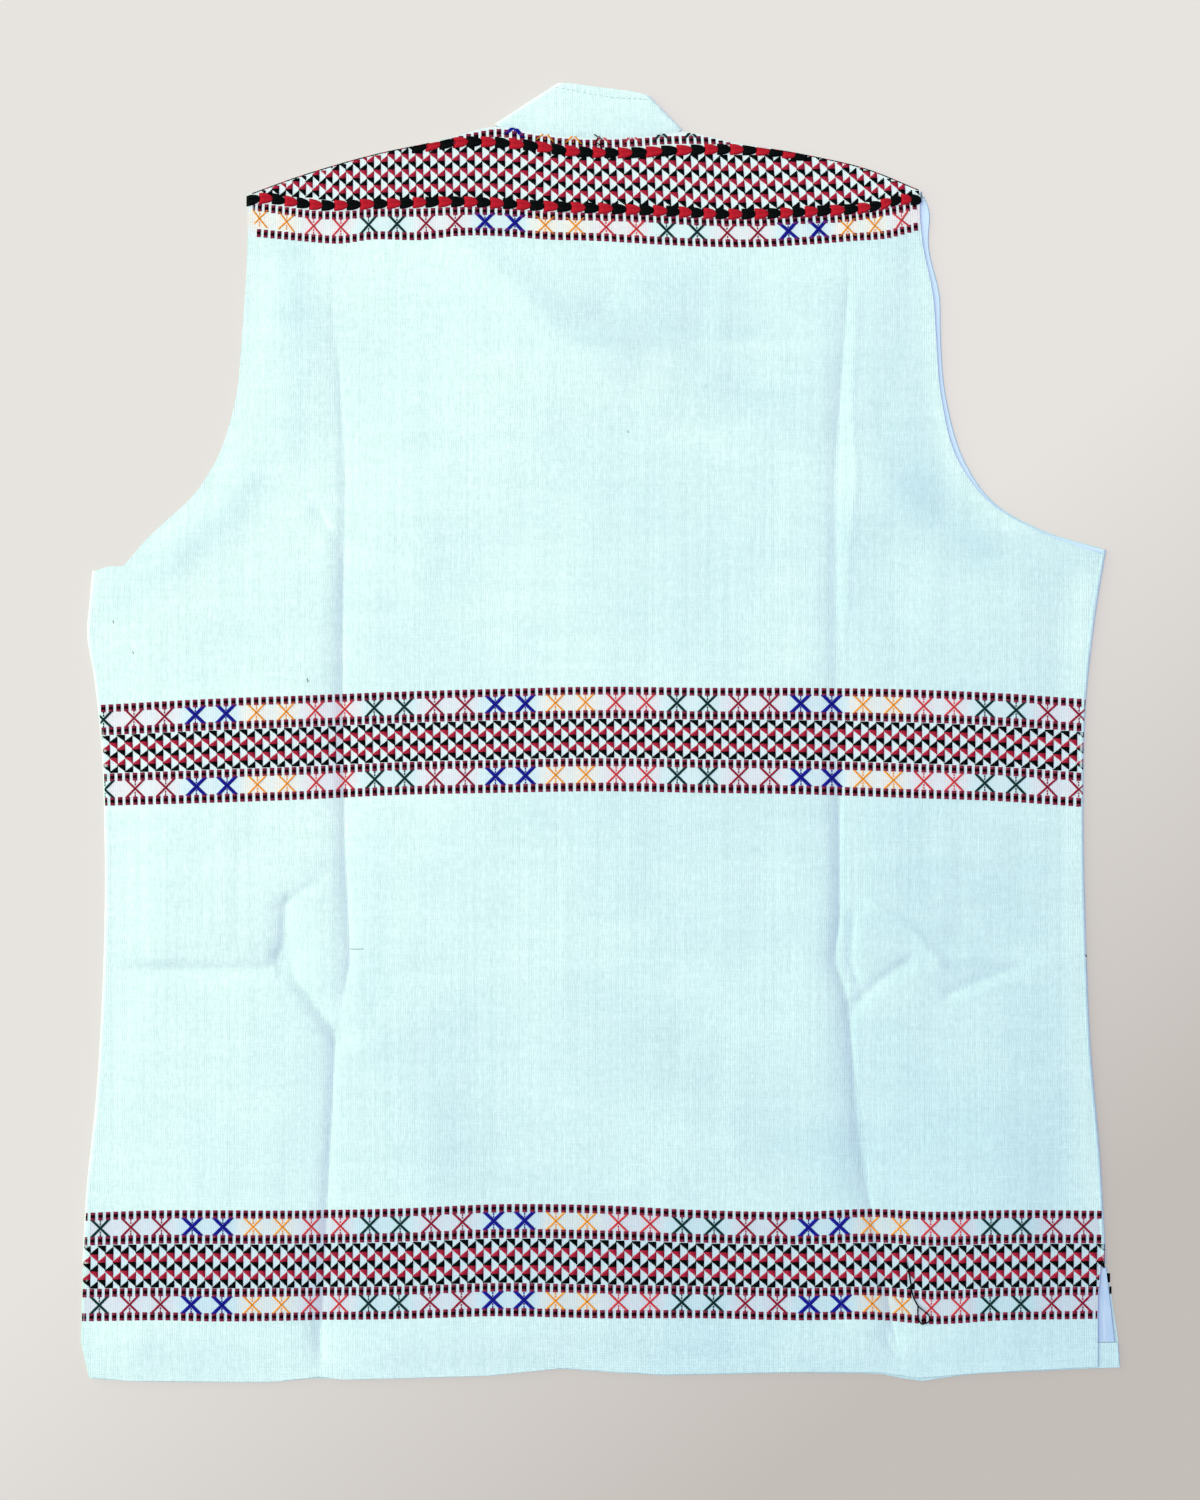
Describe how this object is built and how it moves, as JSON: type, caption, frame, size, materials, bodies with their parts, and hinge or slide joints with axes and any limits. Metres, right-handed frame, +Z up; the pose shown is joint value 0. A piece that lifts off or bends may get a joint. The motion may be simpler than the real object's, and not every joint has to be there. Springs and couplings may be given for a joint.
{
  "type": "handloom waistcoat",
  "caption": "Sleeveless band-collar waistcoat of pale handloom cloth with woven ornament bands, laid flat with its back up.",
  "frame": {"origin": "centre of the garment's outline, on the surface that it lies on", "axes": "+X to the wearer's right, +Y up the garment from hem to collar, +Z up out of the surface, through the fronts and then the back"},
  "size_m": [0.5922, 0.7396, 0.0065],
  "materials": {
    "handloom_cotton": "plain-woven pale aqua cotton, matt",
    "lining_cotton": "smooth pale blue lining cloth",
    "braid_yarn": "loose cotton yarn in red and black leaves"
  },
  "bodies": {
    "root": {"back_panel": "handloom_cotton", "front_left": "handloom_cotton", "front_right": "handloom_cotton", "front_right_hem": "handloom_cotton", "front_right_lining": "lining_cotton", "collar": "handloom_cotton", "yoke_braid_lower": "braid_yarn", "yoke_braid_upper": "braid_yarn"}
  },
  "joints": []
}
